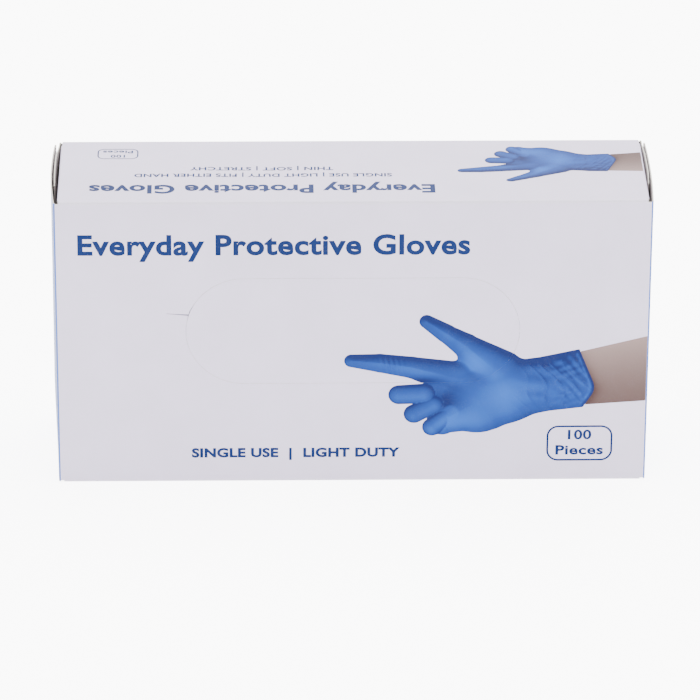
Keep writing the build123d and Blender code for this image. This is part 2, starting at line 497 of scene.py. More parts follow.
def paper_grain_group():
    """Group: soft mottle, fine fibre and height of paper board."""
    tree, _, out = start_group("paper_grain", [], [
        ("Mottle", "NodeSocketFloat"), ("Fibre", "NodeSocketFloat"),
        ("Height", "NodeSocketFloat")])
    place = tree.nodes.new("ShaderNodeTexCoord").outputs["Object"]
    mottle = map_range(tree, noise_node(tree, place, 45.0, 4.0), 0.3, 0.7)
    stretch = tree.nodes.new("ShaderNodeMapping")
    stretch.inputs["Scale"].default_value = (1.0, 2.2, 2.2)
    tree.links.new(place, stretch.inputs["Vector"])
    fibre = map_range(tree, noise_node(tree, stretch.outputs["Vector"], 1500.0, 6.0, 0.7), 0.3, 0.7)
    coarse = noise_node(tree, place, 350.0, 2.0)
    height = math_node(tree, "ADD", math_node(tree, "MULTIPLY", fibre, 0.35), coarse)
    for title, socket in (("Mottle", mottle), ("Fibre", fibre), ("Height", height)):
        tree.links.new(socket, out.inputs[title])
    return tree


def fold_wear_group():
    """Group: mask of cracked coating along folds and edges."""
    tree, inside, out = start_group("fold_wear", [("Amount", "NodeSocketFloat", 0.5)],
                                    [("Mask", "NodeSocketFloat")])
    stored = tree.nodes.new("ShaderNodeAttribute")
    stored.attribute_name = "wear"
    place = tree.nodes.new("ShaderNodeTexCoord").outputs["Object"]
    flecks = noise_node(tree, place, 900.0, 5.0, 0.7)
    patches = noise_node(tree, place, 70.0, 2.0)
    both = math_node(tree, "ADD", math_node(tree, "MULTIPLY", flecks, 0.6),
                     math_node(tree, "MULTIPLY", patches, 0.4))
    level = math_node(tree, "MULTIPLY", stored.outputs["Fac"], both)
    mask = map_range(tree, level, 0.28, 0.62)
    tree.links.new(math_node(tree, "MULTIPLY", mask, inside.outputs["Amount"]), out.inputs["Mask"])
    return tree


def ink_density_group():
    """Group: small uneven spots where printed ink is thinner."""
    tree, _, out = start_group("ink_density", [], [("Thin", "NodeSocketFloat")])
    place = tree.nodes.new("ShaderNodeTexCoord").outputs["Object"]
    speckle = map_range(tree, noise_node(tree, place, 2600.0, 3.0, 0.6), 0.52, 0.72)
    cloud = map_range(tree, noise_node(tree, place, 160.0, 3.0), 0.35, 0.7)
    tree.links.new(math_node(tree, "MULTIPLY", speckle, cloud), out.inputs["Thin"])
    return tree


class Finishes:
    """The materials, made once and shared by the operators."""

    made = {}

    @classmethod
    def get(cls, name):
        if not cls.made:
            cls.make_all()
        return cls.made[name]

    @classmethod
    def make_all(cls):
        prints = bpy.context.scene.print_style
        groups = {"grain": paper_grain_group(), "wear": fold_wear_group(),
                  "ink": ink_density_group()}
        board = tuple(prints.board_colour)
        cls.made = {
            "coated": board_finish("coated_white_board", groups, board, 0.40, 0.30),
            "window": board_finish("window_board", groups, board, 0.40, 0.30),
            "blue": board_finish("printed_blue_board", groups, tuple(prints.end_colour), 0.38, 0.6),
            "raw": raw_finish("uncoated_board", groups),
            "ink": ink_finish("blue_ink", groups, tuple(prints.ink_colour)),
            "white_ink": ink_finish("white_ink", groups, board),
            "picture": picture_finish("printed_picture", groups),
            "film": film_finish("glove_film"),
            "glue": glue_finish("dried_glue"),
        }


def start_material(name):
    """Begin a material and give its node tree and its Principled BSDF."""
    material = bpy.data.materials.new(name)
    material.use_nodes = True
    return material, material.node_tree, material.node_tree.nodes["Principled BSDF"]


def add_group(tree, group):
    """Place a node group in a material."""
    node = tree.nodes.new("ShaderNodeGroup")
    node.node_tree = group
    return node


def add_bump(tree, shader, height, strength, distance):
    """Wire a height into the shader's normal."""
    bump = tree.nodes.new("ShaderNodeBump")
    bump.inputs["Strength"].default_value = strength
    bump.inputs["Distance"].default_value = distance
    tree.links.new(height, bump.inputs["Height"])
    tree.links.new(bump.outputs["Normal"], shader.inputs["Normal"])


def scaled(colour, factor):
    """A colour made darker or lighter."""
    return tuple(channel * factor for channel in colour)


def board_finish(name, groups, colour, rough, wear_amount):
    """Coated board: smooth satin face, faint mottle, pale cracks along its folds."""
    material, tree, shader = start_material(name)
    grain = add_group(tree, groups["grain"])
    wear = add_group(tree, groups["wear"])
    wear.inputs["Amount"].default_value = wear_amount
    base = mix_colour(tree, grain.outputs["Mottle"], scaled(colour, 0.955), scaled(colour, 1.02))
    fine = math_node(tree, "MULTIPLY", grain.outputs["Fibre"], 0.05)
    base = mix_colour(tree, fine, base, scaled(colour, 0.8))
    base = mix_colour(tree, wear.outputs["Mask"], base, (0.74, 0.73, 0.72))
    tree.links.new(base, shader.inputs["Base Color"])
    spread_rough = map_range(tree, grain.outputs["Fibre"], 0, 1, rough - 0.04, rough + 0.06)
    rougher = math_node(tree, "ADD", spread_rough,
                        math_node(tree, "MULTIPLY", wear.outputs["Mask"], 0.3))
    tree.links.new(rougher, shader.inputs["Roughness"])
    shader.inputs["Coat Weight"].default_value = 0.06
    shader.inputs["Coat Roughness"].default_value = 0.35
    add_bump(tree, shader, grain.outputs["Height"], 0.25, 0.02 * MM)
    return material


def raw_finish(name, groups):
    """Uncoated side and cut edges: warm grey white with visible fibre."""
    material, tree, shader = start_material(name)
    grain = add_group(tree, groups["grain"])
    base = mix_colour(tree, grain.outputs["Fibre"], (0.46, 0.43, 0.38), (0.66, 0.63, 0.57))
    base = mix_colour(tree, math_node(tree, "MULTIPLY", grain.outputs["Mottle"], 0.4), base,
                      (0.58, 0.56, 0.52))
    tree.links.new(base, shader.inputs["Base Color"])
    tree.links.new(map_range(tree, grain.outputs["Fibre"], 0, 1, 0.75, 0.92),
                   shader.inputs["Roughness"])
    add_bump(tree, shader, grain.outputs["Height"], 0.6, 0.05 * MM)
    return material


def print_surface(tree, shader, grain, smoothest, roughest):
    """Give a printed material its satin face, with the board's grain under it."""
    tree.links.new(map_range(tree, grain.outputs["Fibre"], 0, 1, smoothest, roughest),
                   shader.inputs["Roughness"])
    shader.inputs["Specular IOR Level"].default_value = 0.12
    add_bump(tree, shader, grain.outputs["Height"], 0.2, 0.02 * MM)


def ink_finish(name, groups, colour):
    """Printed ink: satin, with spots where the board shows through a little."""
    material, tree, shader = start_material(name)
    density = add_group(tree, groups["ink"])
    grain = add_group(tree, groups["grain"])
    pale = tuple(0.9 * channel + 0.1 * 0.7 for channel in colour)
    base = mix_colour(tree, grain.outputs["Mottle"], scaled(colour, 0.92), scaled(colour, 1.06))
    base = mix_colour(tree, math_node(tree, "MULTIPLY", density.outputs["Thin"], 0.5), base, pale)
    tree.links.new(base, shader.inputs["Base Color"])
    print_surface(tree, shader, grain, 0.34, 0.44)
    return material


def picture_finish(name, groups):
    """Printed picture: colours stored on the mesh, with the ink's grain."""
    material, tree, shader = start_material(name)
    density = add_group(tree, groups["ink"])
    grain = add_group(tree, groups["grain"])
    stored = tree.nodes.new("ShaderNodeAttribute")
    stored.attribute_name = "print"
    base = mix_colour(tree, math_node(tree, "MULTIPLY", density.outputs["Thin"], 0.05),
                      stored.outputs["Color"], (0.6, 0.62, 0.7))
    tree.links.new(base, shader.inputs["Base Color"])
    print_surface(tree, shader, grain, 0.36, 0.46)
    return material


def film_finish(name):
    """Nitrile film: satin blue with fine texture and cloudy thickness."""
    material, tree, shader = start_material(name)
    colour = tuple(bpy.context.scene.gloves.film_colour)
    place = tree.nodes.new("ShaderNodeTexCoord").outputs["Object"]
    cloud = map_range(tree, noise_node(tree, place, 38.0, 4.0), 0.3, 0.7)
    base = mix_colour(tree, cloud, scaled(colour, 0.8), scaled(colour, 1.15))
    tree.links.new(base, shader.inputs["Base Color"])
    pebble = noise_node(tree, place, 1400.0, 2.0)
    crease = noise_node(tree, place, 160.0, 4.0, 0.6)
    height = math_node(tree, "ADD", math_node(tree, "MULTIPLY", pebble, 0.25), crease)
    tree.links.new(map_range(tree, cloud, 0, 1, 0.42, 0.55), shader.inputs["Roughness"])
    shader.inputs["Specular IOR Level"].default_value = 0.45
    add_bump(tree, shader, height, 0.5, 0.3 * MM)
    return material


def glue_finish(name):
    """Dried glue: yellowish, glossy and uneven."""
    material, tree, shader = start_material(name)
    place = tree.nodes.new("ShaderNodeTexCoord").outputs["Object"]
    cloud = map_range(tree, noise_node(tree, place, 300.0, 3.0), 0.3, 0.7)
    base = mix_colour(tree, cloud, (0.55, 0.46, 0.28), (0.72, 0.66, 0.48))
    tree.links.new(base, shader.inputs["Base Color"])
    tree.links.new(map_range(tree, cloud, 0, 1, 0.22, 0.4), shader.inputs["Roughness"])
    add_bump(tree, shader, cloud, 0.4, 0.1 * MM)
    return material


# ---------------------------------------------------------------- walls

SLIT_START = Vector((1.4 * MM, 0, 7.4 * MM))    # from the oval's left end
SLIT_WAY = Vector((-9.2 * MM, 0, 0.7 * MM))
SLIT_HALF_WIDTH = 0.28 * MM
NICK_WIDTH = 0.7 * MM

def edge_wear(low_u, high_u, low_v, high_v, axis_u, axis_v, reach=1.2 * MM):
    """Give the wear function of a rectangular panel: 1 at its border."""
    def wear(points):
        u, v = points[:, axis_u], points[:, axis_v]
        inside = np.minimum(np.minimum(u - low_u, high_u - u), np.minimum(v - low_v, high_v - v))
        return 1 - inside / reach
    return wear


def oval_ring(length, height, corner_angles, straight_count, round_count):
    """Points and outward directions round an oval about the middle, anticlockwise."""
    radius = height / 2
    reach = length / 2 - radius
    points = []
    for end in (1, -1):
        turn = 0 if end > 0 else math.pi
        even = np.linspace(-math.pi / 2, math.pi / 2, round_count)
        angles = sorted(set(even.tolist() + corner_angles[end]))
        for angle in angles:
            way = (math.cos(angle + turn), math.sin(angle + turn))
            points.append((end * reach, 0.0, *way))
        for x in np.linspace(end * reach, -end * reach, straight_count)[1:-1]:
            points.append((x, 0.0, 0.0, float(end)))
    return np.array(points), radius


class CARTON_OT_front_wall(bpy.types.Operator):
    """Make the large front wall, with the oval hole and the slit that starts the tear"""

    bl_idname = "carton.front_wall"
    bl_label = "Front wall"

    def execute(self, context):
        carton = context.scene.carton
        gap = carton.cut_gap
        half_x = END_X - carton.fold_radius
        low, high = CORNER - WINDOW_Z, TOP_Z - CORNER - WINDOW_Z
        length, height = WINDOW_LENGTH, WINDOW_HEIGHT
        reach = (length - height) / 2
        corners = {1: [math.atan2(low, half_x - reach), math.atan2(high, half_x - reach)],
                   -1: [math.atan2(-high, half_x - reach), math.atan2(-low, half_x - reach)]}
        ring, radius = oval_ring(length, height, corners, 46, 41)
        hub_x, way_x, way_z = ring[:, 0], ring[:, 2], ring[:, 3]
        room_x = np.where(np.abs(way_x) > 1e-9, (half_x - np.abs(hub_x)) / np.maximum(
            np.abs(way_x), 1e-9), np.inf)
        wall = np.where(way_z > 0, high, -low)
        room_z = np.where(np.abs(way_z) > 1e-9, wall / np.maximum(np.abs(way_z), 1e-9), np.inf)
        far = np.minimum(room_x, room_z)
        steps = np.concatenate([[0, 0.004, 0.015], np.linspace(0.05, 0.93, 14),
                                [0.965, 0.985, 0.995, 1]])
        near_slit = np.exp(-((way_z * radius - 9 * MM) / (2 * MM)) ** 2) * (hub_x + way_x < 0)
        rim = radius + gap * (0.5 + 3 * near_slit)
        rows = []
        for step in steps:
            away = rim + (far - rim) * step
            rows.append(on_front(hub_x + way_x * away, WINDOW_Z + way_z * away, 0.0))
        outer = np.array(rows)
        inner = outer + np.array([0, BOARD, 0])
        wear = edge_wear(-half_x, half_x, CORNER, TOP_Z - CORNER, 0, 2)
        wall = slab("front_wall", outer, inner,
                    [Finishes.get("coated"), Finishes.get("raw")], wrap=True, wear=wear)
        self.cut_slit(wall)
        place_piece(wall, "carton", "printed_board", "front_panel")
        return {"FINISHED"}

    def cut_slit(self, wall):
        """Cut the small slit that starts at the oval's left end."""
        start = Vector((-WINDOW_LENGTH / 2, FRONT_Y, WINDOW_Z)) + SLIT_START
        finish = start + SLIT_WAY
        along = SLIT_WAY.normalized()
        across = Vector((-along.z, 0, along.x))
        verts = []
        for depth in (-2 * MM, 2 * MM):
            for place, width in ((start, 1.0), (finish, 0.25)):
                for hand in (-1, 1):
                    edge = across * (SLIT_HALF_WIDTH * width * hand)
                    verts.append(place + edge + Vector((0, depth, 0)))
        faces = [(0, 1, 3, 2), (4, 5, 7, 6), (0, 1, 5, 4), (2, 3, 7, 6), (0, 2, 6, 4), (1, 3, 7, 5)]
        knife = finish_mesh("slit_knife", verts, faces, [])
        cut = wall.modifiers.new("slit", "BOOLEAN")
        cut.operation = "DIFFERENCE"
        cut.solver = "EXACT"
        cut.object = knife
        bake_modifiers(wall)
        bpy.data.objects.remove(knife)


def bake_modifiers(obj):
    """Turn an object's modifiers into plain mesh."""
    shape = evaluated_mesh(obj)
    obj.modifiers.clear()
    obj.data = shape


class CARTON_OT_window(bpy.types.Operator):
    """Make the tear-out oval and the uncut nicks that hold it"""

    bl_idname = "carton.window"
    bl_label = "Tear-out window"

    def execute(self, context):
        carton = context.scene.carton
        length = WINDOW_LENGTH - carton.cut_gap
        height = WINDOW_HEIGHT - carton.cut_gap
        radius = height / 2
        reach = length / 2 - radius
        turns = np.linspace(0, math.pi / 2, 19)
        ends = reach + radius * np.sin(turns)
        x = np.concatenate([-ends[::-1], np.linspace(-reach, reach, 40)[1:-1], ends])
        half = np.sqrt(np.maximum(radius ** 2 - np.maximum(np.abs(x) - reach, 0) ** 2, 0))
        v = np.concatenate([[-1, -0.985, -0.95], np.linspace(-0.88, 0.88, 15), [0.95, 0.985, 1]])
        outer = on_front(np.tile(x, (len(v), 1)), WINDOW_Z + np.outer(v, half), 0.0)
        inner = outer + np.array([0, BOARD, 0])
        window = slab("window_oval", outer, inner,
                      [Finishes.get("window"), Finishes.get("raw")], merge=0.002 * MM,
                      wear=lambda p: 1 + window_distance(p[:, 0], p[:, 2]) / (0.5 * MM))
        place_piece(window, "window", "window_board", "window_panel")
        nicks = self.nicks(carton)
        place_piece(nicks, "window", "window_board")
        return {"FINISHED"}

    def nicks(self, carton):
        """Small uncut bridges, set out along the oval by geometry nodes."""
        path = bpy.data.curves.new("oval_path", "CURVE")
        path.dimensions = "3D"
        radius = WINDOW_HEIGHT / 2
        reach = WINDOW_LENGTH / 2 - radius
        turns = np.linspace(-math.pi / 2, math.pi / 2, 49)
        right = np.stack([reach + radius * np.cos(turns), WINDOW_Z + radius * np.sin(turns)], 1)
        left = np.stack([-reach - radius * np.cos(turns), WINDOW_Z - radius * np.sin(turns)], 1)
        ring = np.concatenate([right, left])
        places = on_front(ring[:, 0], ring[:, 1], -BOARD / 2)
        spline = path.splines.new("POLY")
        spline.points.add(len(places) - 1)
        for point, place in zip(spline.points, places):
            point.co = (*place, 1.0)
        spline.use_cyclic_u = True
        obj = add_object("window_nicks", path)
        tree = nick_tree()
        modifier = obj.modifiers.new("nicks", "NODES")
        modifier.node_group = tree
        values = {"Pitch": carton.nick_pitch, "Width": NICK_WIDTH, "Depth": BOARD * 0.9,
                  "Reach": carton.cut_gap * 0.9, "Material": Finishes.get("window")}
        for item in tree.interface.items_tree:
            if item.in_out == "INPUT" and item.name in values:
                modifier[item.identifier] = values[item.name]
        mesh = evaluated_mesh(obj)
        bpy.data.objects.remove(obj)
        return add_object("window_nicks", mesh)


def nick_tree():
    """Geometry nodes: a small block at even steps along a closed path."""
    tree = bpy.data.node_groups.new("nicks_along_path", "GeometryNodeTree")
    sockets = (("Geometry", "NodeSocketGeometry"), ("Pitch", "NodeSocketFloat"),
               ("Width", "NodeSocketFloat"), ("Depth", "NodeSocketFloat"),
               ("Reach", "NodeSocketFloat"), ("Material", "NodeSocketMaterial"))
    for title, kind in sockets:
        tree.interface.new_socket(title, in_out="INPUT", socket_type=kind)
    tree.interface.new_socket("Geometry", in_out="OUTPUT", socket_type="NodeSocketGeometry")
    new, link = tree.nodes.new, tree.links.new
    inside, out = new("NodeGroupInput"), new("NodeGroupOutput")
    points = new("GeometryNodeCurveToPoints")
    points.mode = "LENGTH"
    link(inside.outputs["Geometry"], points.inputs["Curve"])
    link(inside.outputs["Pitch"], points.inputs["Length"])
    size = new("ShaderNodeCombineXYZ")
    link(inside.outputs["Depth"], size.inputs["X"])
    link(inside.outputs["Reach"], size.inputs["Y"])
    link(inside.outputs["Width"], size.inputs["Z"])
    block = new("GeometryNodeMeshCube")
    link(size.outputs["Vector"], block.inputs["Size"])
    along = new("FunctionNodeAlignEulerToVector")
    along.axis = "Z"
    link(points.outputs["Tangent"], along.inputs["Vector"])
    facing = new("FunctionNodeAlignEulerToVector")
    facing.axis = "X"
    facing.pivot_axis = "Z"
    facing.inputs["Vector"].default_value = (0, 1, 0)
    link(along.outputs["Rotation"], facing.inputs["Rotation"])
    copies = new("GeometryNodeInstanceOnPoints")
    link(points.outputs["Points"], copies.inputs["Points"])
    link(block.outputs["Mesh"], copies.inputs["Instance"])
    link(facing.outputs["Rotation"], copies.inputs["Rotation"])
    real = new("GeometryNodeRealizeInstances")
    link(copies.outputs["Instances"], real.inputs["Geometry"])
    paint = new("GeometryNodeSetMaterial")
    link(real.outputs["Geometry"], paint.inputs["Geometry"])
    link(inside.outputs["Material"], paint.inputs["Material"])
    link(paint.outputs["Geometry"], out.inputs["Geometry"])
    return tree


def narrow_wall(name, low_y, high_y, face_z, up, half_x, materials):
    """A narrow wall with a rounded bend along each edge; up is 1 on top and -1 below."""
    bend = np.linspace(0, math.pi / 2, 9)
    flat = spread(low_y + CORNER, high_y - CORNER, 16)[1:-1]
    profile = []
    for radius, flat_depth in ((CORNER, 0.0), (CORNER - BOARD, BOARD)):
        front_y = low_y + CORNER - radius * np.cos(bend)
        rise = CORNER - radius * np.sin(bend)
        y = np.concatenate([front_y, flat, (low_y + high_y) - front_y[::-1]])
        depth = np.concatenate([rise, np.full(len(flat), flat_depth), rise[::-1]])
        profile.append((y, depth))
    x = spread(-half_x, half_x, 60)
    grids = []
    for y, depth in profile:
        grid_y, grid_x = np.tile(y, (len(x), 1)), np.tile(x, (len(y), 1)).T
        height = face_z - up * (depth + narrow_dip(-grid_x, -grid_y))
        grids.append(np.stack([grid_x, grid_y, height], axis=-1))
    wear = edge_wear(-half_x, half_x, low_y + CORNER * 0.6, high_y - CORNER * 0.6, 0, 1)
    return slab(name, grids[0], grids[1], materials, wear=wear)


class CARTON_OT_other_walls(bpy.types.Operator):
    """Make the back, the two narrow walls, the glue tab and the seam's glue"""

    bl_idname = "carton.other_walls"
    bl_label = "Other walls"

    def execute(self, context):
        coated, raw = Finishes.get("coated"), Finishes.get("raw")
        top = narrow_wall("top_wall", TOP_LOW.y, TOP_HIGH.y, TOP_Z, 1,
                          TOP_HIGH.x, [coated, raw])
        place_piece(top, "carton", "printed_board", "top_panel")
        bottom = narrow_wall("bottom_wall", BOTTOM_LOW.y, BOTTOM_HIGH.y, 0.0, -1,
                             BOTTOM_HIGH.x, [coated, raw])
        place_piece(bottom, "carton", "printed_board", "bottom_panel")
        self.back_wall([coated, raw])
        self.tab([coated, raw])
        return {"FINISHED"}

    def back_wall(self, materials):
        half_x = BACK_HIGH.x
        x, z = np.meshgrid(spread(-half_x, half_x, 44), spread(BACK_LOW.z, BACK_HIGH.z, 24))
        outer = on_back(-x, z, 0.0)
        inner = outer - np.array([0, BOARD, 0])
        wear = edge_wear(-half_x, half_x, BACK_LOW.z, BACK_HIGH.z, 0, 2)
        back = slab("back_wall", outer, inner, materials, wear=wear)
        place_piece(back, "carton", "printed_board", "back_panel")

    def tab(self, materials):
        rise = np.linspace(TAB_LOW.z, TAB_HIGH.z, 9)
        slant = (rise - TAB_LOW.z) * math.tan(math.radians(30))
        x = np.outer(np.linspace(-1, 1, 61), TAB_HIGH.x - slant).T
        z = np.tile(rise, (61, 1)).T
        y = np.full_like(x, TAB_HIGH.y)
        outer = np.stack([x, y, z], axis=-1)
        inner = outer - np.array([0, BOARD, 0])
        tab = slab("glue_tab_flap", outer, inner, materials)
        place_piece(tab, "carton", "plain_board", "glue_tab")
        low, high = corners_of("seam_glue")
        half = Vector((high.x - low.x, 0, high.z - low.z)) / 2
        middle_z = (low.z + high.z) / 2

        def distance(u, v):
            uneven = 0.4 * MM * ripple(u, v, 160.0, 3.5)
            return rounded_box(u, v - middle_z, half.x, half.z, 3 * MM) + 0.5 * MM + uneven

        def place(u, v, w):
            return np.stack([u, high.y - w + 0 * u, v], axis=-1)

        glue = film("seam_glue_film", distance, ((-half.x, half.x), (low.z, high.z)), 0.9 * MM,
                    place, high.y - low.y, [Finishes.get("glue")])
        place_piece(glue, "carton", "glue", "seam_glue")


# ---------------------------------------------------------------- end flaps

def fold_strip(name, end_x, side, face, axis, outward, low, high, material, raw):
    """Quarter-round fold between a wall and a flap, along Z (axis 2) or along Y (axis 1)."""
    radius = bpy.context.scene.carton.fold_radius
    turns = np.linspace(0, math.pi / 2, 9)
    along = spread(low, high, 20)
    grids = []
    for bend in (radius, radius - BOARD):
        x = side * (end_x - radius + bend * np.sin(turns))
        out = face - outward * (radius - bend * np.cos(turns))
        grid_x, grid_out = np.tile(x, (len(along), 1)), np.tile(out, (len(along), 1))
        grid_along = np.tile(along, (len(turns), 1)).T
        pair = (grid_out, grid_along) if axis == 2 else (grid_along, grid_out)
        grids.append(np.stack([grid_x, *pair], axis=-1))
    return slab(name, grids[0], grids[1], [material, raw],
                wear=lambda points: np.full(len(points), 0.45))


def end_flap(word, kind, side, end_x, y, z_count, trim, bow, face, outward, finish, slot):
    """Make an outer or an inner flap and the fold that joins it to a large wall.

    Trim tells how much a place loses from its height; bow tells how far it stands out.
    """
    body = f"{word}_{kind}"
    low, high = corners_of(f"{word}_{kind}_flap")
    middle = (low.z + high.z) / 2
    grid_y, grid_z = np.meshgrid(y, spread(low.z, high.z, z_count))
    grid_z = middle + (grid_z - middle) * (1 - trim(grid_y) / (high.z - middle))
    outer = np.stack([side * (end_x + bow(side, grid_y, grid_z)), grid_y, grid_z], axis=-1)
    inner = outer - np.array([side * BOARD, 0, 0])
    ends = sorted((face, high.y if outward < 0 else low.y))
    wear = edge_wear(*ends, low.z, high.z, 1, 2, 0.9 * MM)
    front, raw = Finishes.get(finish), Finishes.get("raw")
    flap = slab(f"{word}_{kind}_end_flap", outer, inner, [front, raw], wear=wear)
    place_piece(flap, body, slot, f"{word}_{kind}_flap")
    fold = fold_strip(f"{word}_{kind}_fold_strip", end_x, side, face, 2, outward,
                      low.z, high.z, front, raw)
    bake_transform(fold)


class CARTON_OT_outer_flaps(bpy.types.Operator):
    """Make the printed outer flaps and their folds"""

    bl_idname = "carton.outer_flaps"
    bl_label = "Outer flaps"

    def execute(self, context):
        radius = context.scene.carton.fold_radius
        for word, side in SIDES:
            free_y = corners_of(f"{word}_outer_flap")[1].y

            def trim(y, free_y=free_y):
                return np.clip(y - free_y + 2 * MM, 0, None) * 0.4

            end_flap(word, "outer", side, END_X, spread(FRONT_Y + radius, free_y, 22), 34,
                     trim, flap_bow, FRONT_Y, -1, "blue", "end_board")
        return {"FINISHED"}


class CARTON_OT_inner_flaps(bpy.types.Operator):
    """Make the plain inner flaps, their folds and the glue spots on them"""

    bl_idname = "carton.inner_flaps"
    bl_label = "Inner flaps"

    def execute(self, context):
        radius = context.scene.carton.fold_radius
        for word, side in SIDES:
            low, high = corners_of(f"{word}_inner_flap")
            end_x = max(abs(low.x), abs(high.x))

            def trim(y, free_y=low.y):
                return np.clip(free_y + 5 * MM - y, 0, None) * 0.5

            end_flap(word, "inner", side, end_x, spread(low.y, BACK_Y - radius, 16), 30,
                     trim, inner_bow, BACK_Y, 1, "coated", "plain_board")
            self.glue(word, side, end_x)
        return {"FINISHED"}

    def glue(self, word, side, end_x):
        """Three flattened drops of glue."""
        low, high = corners_of(f"{word}_glue_spots")
        radius = (high.y - low.y) / 2
        thick = high.x - low.x
        middle_y = (low.y + high.y) / 2
        rings, turns = 7, 28
        verts = []
        faces = []
        for spot, middle_z in enumerate(np.linspace(low.z + radius, high.z - radius, 3)):
            first = len(verts)
            for ring in range(rings):
                tilt = math.pi / 2 * ring / (rings - 1)
                for turn in range(turns):
                    angle = math.tau * turn / turns
                    wobble = 1 - 0.10 * (1 + math.sin(3 * angle + spot)) / 2
                    reach = max(radius * math.cos(tilt) ** 0.35 * wobble, 0)
                    y = middle_y + reach * math.cos(angle)
                    z = middle_z + reach * math.sin(angle)
                    stand = end_x + float(inner_bow(side, y, z)) + thick * math.sin(tilt)
                    verts.append((side * stand, y, z))
            for ring in range(rings - 1):
                for turn in range(turns):
                    right = (turn + 1) % turns
                    a, b = first + ring * turns + turn, first + ring * turns + right
                    faces.append((a, b, b + turns, a + turns))
            faces.append(tuple(range(first, first + turns)))
        drops = finish_mesh(f"{word}_glue_drops", verts, faces, [Finishes.get("glue")],
                            merge=0.001 * MM)
        smooth(drops, 50)
        place_piece(drops, f"{word}_inner", "glue", f"{word}_glue_spots")


DUST_SLANT = math.tan(math.radians(15))
DUST_SHOULDER = 10 * MM
DUST_REAR_INSET = 2 * MM
DUST_TIP = 6 * MM


class CARTON_OT_dust_flaps(bpy.types.Operator):
    """Make the four dust flaps and their folds"""

    bl_idname = "carton.dust_flaps"
    bl_label = "Dust flaps"

    def execute(self, context):
        radius = context.scene.carton.fold_radius
        raw, coated = Finishes.get("raw"), Finishes.get("coated")
        for word, side in SIDES:
            for level, up in (("top", 1), ("bottom", -1)):
                node = f"{word}_{level}_dust_flap"
                low, high = corners_of(node)
                end_x = max(abs(low.x), abs(high.x))
                face = TOP_Z if up > 0 else 0.0
                length = high.z - low.z
                down = spread(radius, length, 30)
                inset_rear = DUST_REAR_INSET + np.minimum(down, DUST_SHOULDER) \
                    + np.maximum(down - DUST_SHOULDER, 0) * DUST_SLANT
                inset_front = down * DUST_SLANT
                over = np.clip(down - (length - DUST_TIP), 0, DUST_TIP)
                rounding = DUST_TIP - np.sqrt(np.maximum(DUST_TIP ** 2 - over ** 2, 0))
                front_y = low.y + inset_front + rounding
                rear_y = -low.y - inset_rear - rounding
                share = spread(0, 1, 14, fine=(0.01, 0.03, 0.06, 0.1))
                grid_y = front_y[:, None] + (rear_y - front_y)[:, None] * share[None, :]
                grid_z = np.tile(face - up * down, (len(share), 1)).T
                outer = np.stack([np.full_like(grid_y, side * end_x), grid_y, grid_z], axis=-1)
                inner = outer - np.array([side * BOARD, 0, 0])
                flap = slab(f"{word}_{level}_dust_end_flap", outer, inner, [coated, raw])
                body = f"{word}_dust_{level}"
                place_piece(flap, body, "plain_board", node)
                fold = fold_strip(f"{word}_{level}_dust_fold_strip", end_x, side, face, 1, up,
                                  front_y[0], rear_y[0], coated, raw)
                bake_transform(fold)
        return {"FINISHED"}


# ---------------------------------------------------------------- print

INK = 0.012 * MM
INK_LIFT = 0.02 * MM
CAPITAL = 0.73        # a capital's height in the typeface's own units
LETTER_SPLIT = 2.5    # in mm
SAME_PLACE = 1e-3     # in mm; corners closer than this are one


def joined_letters(points, triangles):
    """Join a word's flat triangles, in mm, into one sheet without overlaps.

    The sheet is split at every step, so that the letters can follow a curved wall. Its
    triangles are turned upwards.
    """
    first, second, third = (points[triangles[:, k]] for k in range(3))
    area = np.cross(second - first, third - first)
    upward = np.where(area[:, None] > 0, triangles, triangles[:, ::-1])
    upward = upward[np.abs(area) > SAME_PLACE ** 2]
    corners = [Vector(point) for point in points.tolist()]
    lines = sorted({tuple(sorted(pair)) for tri in upward.tolist()
                    for pair in zip(tri, tri[1:] + tri[:1])})
    low, high = points.min(axis=0), points.max(axis=0)
    for axis in (0, 1):
        for level in np.arange(low[axis] + LETTER_SPLIT, high[axis], LETTER_SPLIT):
            for far in (low[1 - axis] - 1, high[1 - axis] + 1):
                corners.append(Vector((level, far) if axis == 0 else (far, level)))
            lines.append((len(corners) - 2, len(corners) - 1))
    flat, _, pieces, _, _, _ = delaunay_2d_cdt(corners, lines, [], 0, SAME_PLACE)
    flat, pieces = np.array([tuple(corner) for corner in flat]), np.array(pieces)
    middle = flat[pieces].mean(axis=1)
    inked = np.zeros(len(pieces), bool)
    for tri in points[upward]:
        left_of = [np.cross(end - begin, middle - begin) > 0
                   for begin, end in zip(tri, np.roll(tri, -1, axis=0))]
        inked |= left_of[0] & left_of[1] & left_of[2]
    used, kept = np.unique(pieces[inked], return_inverse=True)
    return flat[used], kept.reshape(-1, 3)


